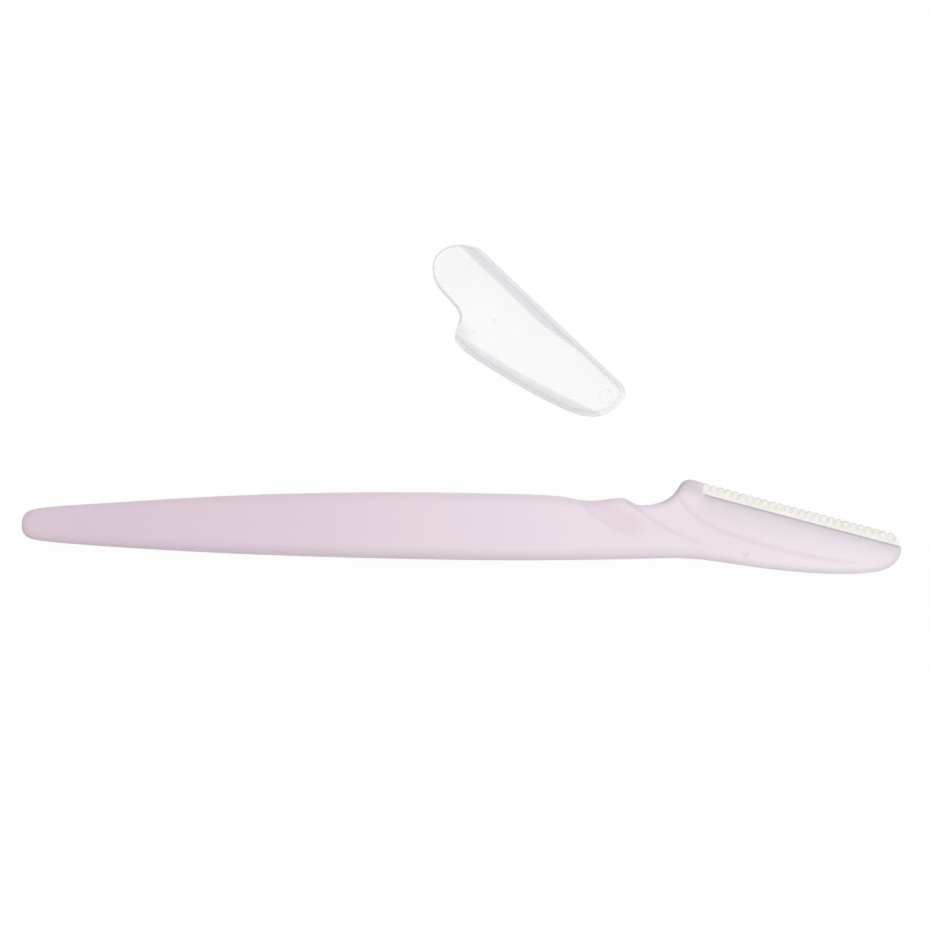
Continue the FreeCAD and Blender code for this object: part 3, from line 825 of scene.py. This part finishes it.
    def _stations(self, lower: Track, above: Track, heel_at: float) -> tuple[Array, Array]:
        """Pair places on the two sides of the plan, from the tail to the tip.

        Args:
            lower: The lower outline.
            above: The upper side with the slot.
            heel_at: Where along the upper side the heel is.

        Returns:
            Places below and places above, one row for each station.
        """
        low_x, high_x = lower.points[:, 0], above.points[:, 0]
        low_u = self.blade.measure(lower.points)[0]
        root_at = heel_at + self.heel_wall
        near_tip = self.blade.head_length - self.tip_length
        below = [
            0.0, *(lower.where(low_x, x) for x in (self.shoulder_x, self.notch_x, self.hook_x)),
            lower.where(low_u, 0.0), lower.where(low_u, near_tip), lower.length,
        ]
        over = [
            0.0, *(above.where(high_x, x) for x in (self.shoulder_x, self.notch_x)),
            heel_at, root_at, root_at + near_tip, above.length,
        ]
        low_at, high_at = [np.zeros(1)], [np.zeros(1)]
        for stretch, count in enumerate(self.stretch_counts):
            share = np.linspace(0.0, 1.0, count + 1)[1:]
            if stretch == 0:
                share = self.tail_crowding * share ** 2 + (1.0 - self.tail_crowding) * share
            if stretch == len(self.stretch_counts) - 1:
                share = 1.0 - (1.0 - share) ** self.tip_crowding
            low_at.append(below[stretch] + share * (below[stretch + 1] - below[stretch]))
            high_at.append(over[stretch] + share * (over[stretch + 1] - over[stretch]))
        return lower.at(np.concatenate(low_at)), above.at(np.concatenate(high_at))

    def _side_height(self, x: Array) -> Array:
        """The height of the broad face: a thin tail, a thick grip and a thin head."""
        along_tail = (self.taper_x - x) / (self.taper_x - self.tail_x)
        taper = smooth_step(along_tail * self.taper_share)
        height = self.grip_half - (self.grip_half - self.tail_half) * taper
        height = height - (self.grip_half - self.ridge_half) * ramped(x, self.fall)
        return height - (self.ridge_half - self.band_half) * ramped(x, self.run_out)

    def _relief(self, places: Array) -> tuple[Array, Array, Array]:
        """Sink the scoop, the neck and the cheek into the broad face.

        Args:
            places: Places in the plan.

        Returns:
            The height of the face, and from 0 to 1 the painted shade, which grows with how deep in
            a hollow it is, and that near the lip and on the hook.
        """
        lines = zip((self.groove, self.ridge, self.blade.places(self.cheek)), self.relief_points)
        groove, ridge, cheek = (Track(cubic_curve(np.array(line), count)) for line, count in lines)
        past_groove, groove_at = groove.measure(places)
        past_ridge, ridge_at = ridge.measure(places)
        past_cheek, cheek_at = cheek.measure(places)
        groove_share = groove_at / groove.length
        groove_fade = 1.0 - ramped(groove_share, self.groove_end)
        ridge_fade = 1.0 - ramped(ridge_at / ridge.length, self.ridge_end)
        cheek_fade = 1.0 - ramped(cheek_at / cheek.length, self.cheek_end)

        # The face falls to the flat of the neck, which the ridge's step marks off
        face = self._side_height(places[:, 0])
        far = np.clip(past_ridge, 0.0, None)
        step = smooth_step(past_ridge / self.ridge_width) * self.ridge_step * ridge_fade
        fall = np.clip(face - step, self.band_half, None)
        settled = smooth_step(far / self.settle_width)
        neck = np.where(past_ridge > 0.0, fall + (self.band_half - fall) * settled, face)
        bead = np.exp(-((past_ridge + self.bead_offset) / self.bead_width) ** 2)
        neck = neck + self.bead_height * ridge_fade * bead

        # The scoop drops at the groove and rises again to the ridge
        inside = (past_groove > 0.0) & (past_ridge < 0.0)
        rise = np.clip(past_groove / np.maximum(past_groove - past_ridge, TINY), 0.0, 1.0)
        width = np.interp(groove_share, self.step_places, self.step_widths)
        sink = np.interp(groove_share, self.step_places, self.step_sinks)
        bowl = sink * smooth_step(past_groove / width) * (1.0 - rise)
        bowl = bowl + self.bowl_sink * np.sin(np.pi * rise) ** 2
        bowl = np.where(inside, bowl, 0.0) * groove_fade
        brow = np.exp(-((past_groove + self.bead_offset) / self.bead_width) ** 2) * groove_fade
        height = neck - bowl + self.brow_share * self.bead_height * brow

        # The cheek drops steeply at its crease and then crowns down to the lip of the slot
        reach = np.clip(past_cheek / self.cove_width, 0.0, 1.0)
        kept = self.cheek_rest + (1.0 - self.cheek_rest) * cheek_fade
        height = height - self.cheek_sink * (1.0 - (1.0 - reach) ** 2) * kept
        along, across = self.blade.measure(places)
        radius = (self.crown_width ** 2 + self.crown_drop ** 2) / (2.0 * self.crown_drop)
        reach = np.clip(across + self.crown_width, 0.0, self.crown_width)
        crown = radius - np.sqrt(radius ** 2 - reach ** 2)
        on_head = ramped(along, self.head_start)
        height = height - crown * on_head
        edge = smooth_step((across + self.lip_round) / self.lip_round) * on_head
        height = height - (self.lip_half - self.guard_slot[1] - self.lip_rest) * edge ** 2
        # Painted shade over the crown and along the slot's edge, partly the grey of steel seen
        # through the thin lip, and on the hook
        lip = self.lip_shade_share * np.exp(across / self.lip_shade_reach) * on_head
        lip = np.clip(lip + (1.0 - self.lip_shade_share) * edge, 0.0, 1.0)
        on_hook = ramped(along, self.hook_start) * (1.0 - on_head)
        lip = np.maximum(lip, self.hook_shade_share * ramped(across, self.hook_shade_rise) * on_hook)

        # Painted shade deepens with the scoop's bowl and gathers at the foot of each step
        hollow = bowl / (self.step_sinks[-1] + self.bowl_sink)
        pasts, fades = (past_groove, past_ridge, past_cheek), (groove_fade, ridge_fade, cheek_fade)
        for past, fade, share in zip(pasts, fades, self.foot_shares):
            foot = np.exp(-((past - self.foot_place) / self.foot_width) ** 2)
            hollow = np.maximum(hollow, share * fade * foot)
        return height, np.clip(hollow, 0.0, 1.0), lip

    @property
    def crown_drop(self) -> float:
        """How far the cheek falls from its flat to the lip of the slot."""
        return self.band_half - self.cheek_sink - self.lip_half

    def _heights(
        self, places: Array, lower: Track, upper: Track,
    ) -> tuple[Array, dict[PaintedShade, Array]]:
        """Round the relief off towards the outline, set the nub on it, and paint shade along the
        flanks.

        Args:
            places: Places in the plan.
            lower: The lower outline.
            upper: The upper outline, up to the heel.

        Returns:
            Heights above the middle plane, and from 0 to 1 how much of each painted shade a place
            has.
        """
        height, hollow, lip = self._relief(places)
        x = places[:, 0]
        low_round = np.interp(x, *zip(*self.low_rounds))
        high_round = np.interp(x, *zip(*self.high_rounds))
        low_gap = np.abs(lower.measure(places)[0])
        high_gap = np.abs(upper.measure(places)[0])
        share = np.clip(np.minimum(low_gap / low_round, high_gap / high_round), 0.0, 1.0)
        edge = np.sqrt(1.0 - (1.0 - share) ** 2)
        rounded = self.edge_half + (height - self.edge_half) * edge
        on_rail = ramped(x, self.rail_start) * (1.0 - ramped(x, self.rail_end))
        rail = np.exp(-((low_gap - low_round) / self.bead_width) ** 2) * on_rail
        rounded = np.minimum(rounded + self.bead_height * rail, self.grip_half)
        nub = self.blade.places((self.nub_place,))[0]
        from_nub = np.linalg.norm(places - nub, axis=1) / self.nub_radius
        dome = np.sqrt(np.clip(1.0 - from_nub ** 2, 0.0, 1.0))
        from_gate = np.linalg.norm(places - np.array(self.gate_place), axis=1) / self.gate_radius
        dimple = np.exp(-from_gate ** 2)
        # Painted shade along the hook's flank, the upper edge, the tail's end and the lower edge
        high_flank_shade = np.interp(x, *zip(*self.high_flank_shade)) * np.exp(-high_gap / self.flank_shade_width)
        low_flank_shade = np.interp(x, *zip(*self.low_flank_shade)) * np.exp(-low_gap / self.flank_shade_width)
        flank = np.maximum(high_flank_shade, low_flank_shade)
        painted_shades = {PaintedShade.HOLLOW: hollow, PaintedShade.LIP: lip, PaintedShade.FLANK: flank}
        return rounded + self.nub_height * dome - self.gate_depth * dimple, painted_shades

    def _wall(self, place: Array, height: float, deep: float) -> list[tuple[Array, float]]:
        """Points from under the face's edge to the middle plane, round a slot that is so deep."""
        if deep > 0.0:
            foot, wide = self.guard_slot
            narrow = self.blade_slot
            depths = ((0.0, wide), (foot, wide), (foot, narrow), (deep, narrow), (deep, 0.0))
            return [(place - depth * self.blade.outward, level) for depth, level in depths]
        return [(place, height * share) for share in self.wall_levels]

    def _mesh(self) -> bpy.types.Mesh:
        """Build the closed mesh: two mirrored faces and the walls between them.

        Returns:
            The mesh, in metres.
        """
        lower, upper, above = self._outline()
        low, high = self._stations(lower, above, upper.length)
        steps = np.linspace(0.0, 1.0, self.rows + 1)
        crowded = (1.0 - np.cos(np.pi * steps)) / 2.0
        share = self.row_crowding * crowded + (1.0 - self.row_crowding) * steps
        share = share[None, :, None]
        grid = low[:, None, :] * (1.0 - share) + high[:, None, :] * share
        heights, painted_shades = self._heights(grid.reshape(-1, 2), lower, upper)
        heights = heights.reshape(grid.shape[:2])
        shades = np.stack([painted_shades[shade_kind] for shade_kind in PaintedShade], axis=-1)
        shades = shades.reshape(*grid.shape[:2], len(PaintedShade))
        along, across = self.blade.measure(high)
        depths = np.where(np.abs(across) < self.slot_gap, self.blade.tang_depths(along), 0.0)

        mesh = bmesh.new()
        layers = [mesh.verts.layers.float.new(shade_kind.value) for shade_kind in PaintedShade]
        middle = self.grip_half

        def vertex(place: Array, level: float, shade: Array | None = None) -> bmesh.types.BMVert:
            """Add one point, given in millimetres above the middle plane, with its painted shade.
            """
            made = mesh.verts.new((place[0] * MM, place[1] * MM, (middle + level) * MM))
            for layer, amount in zip(layers, () if shade is None else shade):
                made[layer] = amount
            return made

        rings = []
        for station, line in enumerate(grid):
            wall = self._wall(high[station], heights[station, -1], float(depths[station]))
            under_wall = self._wall(low[station], heights[station, 0], 0.0)
            rows = list(zip(line, heights[station], shades[station]))
            ring = [vertex(*row) for row in rows]
            ring += [vertex(place, level) for place, level in wall]
            ring += [vertex(place, -level) for place, level in wall[-2::-1]]
            ring += [vertex(place, -level, shade) for place, level, shade in rows[::-1]]
            ring += [vertex(place, -level) for place, level in under_wall]
            ring += [vertex(place, level) for place, level in under_wall[-2::-1]]
            rings.append(ring)
        join_rings(mesh, rings)
        bmesh.ops.remove_doubles(mesh, verts=mesh.verts, dist=self.merge_gap * MM)
        bmesh.ops.dissolve_degenerate(mesh, edges=mesh.edges, dist=self.merge_gap * MM)
        made = finish_mesh("handle_moulding", mesh)
        made.set_sharp_from_angle(angle=self.sharp_angle)
        return made


@dataclass
class Cutter:
    """The steel strip and the slotted guard folded over its edge."""

    blade: BladeLine

    def build(self) -> list[bpy.types.Object]:
        """Dress the two steel pieces."""
        guard = DrawnSteel(
            name="bright_guard_foil", light_colour=screen_colour(255, 253, 250),
            dark_colour=screen_colour(237, 232, 228), turn=self.blade.tilt, roughness=0.34,
        )
        strip = DrawnSteel(
            name="ground_blade_strip", light_colour=screen_colour(253, 249, 244),
            dark_colour=screen_colour(229, 223, 218), turn=self.blade.tilt + math.pi / 2.0,
            roughness=0.32,
        )
        pieces = []
        for node, finish in (("blade_guard", guard), ("blade", strip)):
            dress(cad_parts[node], finish.material())
            pieces.append(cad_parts[node])
        return pieces


@dataclass
class Cap:
    """The milky sheath beside the razor, with a denser rim inside the edges of its mouth."""

    line: CapLine
    # Control points of the mouth's edge, from the spine to the underside
    mouth: Places = (
        (0.99, 2.9), (0.0, 2.17), (-1.87, 1.29), (-3.35, -0.75), (-3.7, -3.08), (-2.68, -5.06),
        (-0.53, -6.73), (3.0, -7.03), (6.06, -7.17), (7.33, -8.62), (7.9, -10.58), (8.74, -11.3),
    )
    mouth_points: int = 600
    # Section of the rim: distance in from the edge, and height under the outer face
    section: Places = (
        (0.1, -0.44), (0.06, -0.24), (0.12, -0.08), (0.25, -0.05), (0.38, -0.08), (0.45, -0.2),
        (0.4, -0.44),
    )
    # Width of the rim along the mouth
    widths: Places = ((0.04, 0.25), (0.15, 0.4), (0.45, 0.5), (0.55, 1.0), (0.82, 1.1), (0.9, 0.4))
    points: int = 160
    thickness: float = 5.7

    def build(self) -> list[bpy.types.Object]:
        """Dress the cap and set a rim in each of its broad walls."""
        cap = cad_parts["cap"]
        dress(cap, FrostedPlastic(self.line).material())
        dense = FrostedPlastic(
            self.line, "dense_cap_plastic", body_share=0.2, wall_share=0.2, band_share=0.0,
        )
        material = dense.material()
        upper, lower = self._rim("cap_rim_upper", 1.0), self._rim("cap_rim_lower", -1.0)
        for rim in (upper, lower):
            rim.data.materials.append(material)
            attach(rim, "cap")
        return [cap, upper, lower]

    def _rim(self, name: str, upright: float) -> bpy.types.Object:
        """Carry the rim's section along the mouth, inside one broad wall.

        Args:
            name: The piece's name.
            upright: 1 for the upper wall and -1 for the lower one.

        Returns:
            The rim.
        """
        edge = Track(cubic_curve(self.line.places(self.mouth), self.mouth_points))
        share = np.linspace(self.widths[0][0], self.widths[-1][0], self.points)
        path = edge.at(share * edge.length)
        runs = np.gradient(path, axis=0)
        inward = np.column_stack((-runs[:, 1], runs[:, 0]))
        inward = inward / np.linalg.norm(runs, axis=1)[:, None]
        inward = inward * np.interp(share, *zip(*self.widths))[:, None]
        middle = self.thickness / 2.0
        mesh = bmesh.new()
        rings = []
        for place, way in zip(path, inward):
            ring = []
            for gap, rise in self.section:
                point = Vector((*(place + gap * way), middle + upright * (middle + rise)))
                ring.append(mesh.verts.new(point * MM))
            rings.append(ring)
        join_rings(mesh, rings)
        mesh.faces.new(rings[0])
        mesh.faces.new(rings[-1])
        return add_object(name, finish_mesh(name, mesh))


@dataclass
class Studio:
    """A white table under soft light, seen from straight above."""

    frame_width: float = 0.1588
    look_at: Triple = (0.00068, 0.01024, 0.0029)
    lens: float = 200.0
    sensor: float = 36.0
    far_clip: float = 10.0
    floor_half: float = 3.0
    floor_drop: float = 0.00005
    low_sky: float = 0.14
    high_sky: float = 1.02
    key_share: float = 0.185
    key_place: Triple = (0.2, 0.4, 1.1)
    key_size: float = 0.6

    def build(self) -> None:
        """Set the table, the light and the camera."""
        bpy.context.scene.view_settings.view_transform = "Standard"
        self._table()
        self._sky()
        self._key()
        self._camera()

    def _table(self) -> None:
        """Lay the white table just under the object."""
        signs = ((-1, -1), (1, -1), (1, 1), (-1, 1))
        corners = [(x * self.floor_half, y * self.floor_half, -self.floor_drop) for x, y in signs]
        mesh = bpy.data.meshes.new("table")
        mesh.from_pydata(corners, [], [range(len(corners))])
        mesh.materials.append(WhiteSweep().material())
        add_object("table", mesh)

    def _sky(self) -> None:
        """Light that comes mostly from overhead, and shows as white."""
        world = bpy.data.worlds.new("soft_sky")
        bpy.context.scene.world = world
        graph = Graph(world)
        way = graph.add("ShaderNodeTexCoord", output="Generated")
        height = graph.add("ShaderNodeSeparateXYZ", None, {"Vector": way}, "Z")
        light = self.low_sky + height.at_least(0.0) * self.high_sky
        strength = light + seen_share(graph) * (1.0 - light)
        sky = graph.add("ShaderNodeBackground", None, {"Color": WHITE, "Strength": strength})
        graph.add("ShaderNodeOutputWorld", None, {"Surface": sky})

    def _key(self) -> None:
        """Hang a broad lamp over the far side."""
        lamp = bpy.data.lights.new("broad_lamp", "AREA")
        lamp.shape = "SQUARE"
        lamp.size = self.key_size
        place = Vector(self.key_place)
        slant = place.z / place.length
        lamp.energy = self.key_share * math.pi ** 2 * place.length_squared / slant
        holder = add_object("broad_lamp", lamp)
        holder.location = place
        holder.rotation_euler = (-place).to_track_quat("-Z", "Y").to_euler()
        holder.visible_glossy = False

    def _camera(self) -> None:
        """Look straight down, with the razor level in the picture."""
        data = bpy.data.cameras.new("view")
        data.lens = self.lens
        data.sensor_width = self.sensor
        data.clip_end = self.far_clip
        camera = add_object("view", data)
        rise = self.frame_width * self.lens / self.sensor
        camera.location = Vector(self.look_at) + Vector((0.0, 0.0, rise))
        bpy.context.scene.camera = camera


def main() -> None:
    """Build the studio and dress the razor piece by piece."""
    logging.basicConfig(level=logging.INFO, format="%(name)s: %(message)s")
    Studio().build()
    blade = BladeLine()
    pieces = [Handle(blade).build(), *Cutter(blade).build(), *Cap(CapLine()).build()]
    for piece in pieces:
        LOG.info("%s has %d points", piece.name, len(piece.data.vertices))


if __name__ == "__main__":
    main()
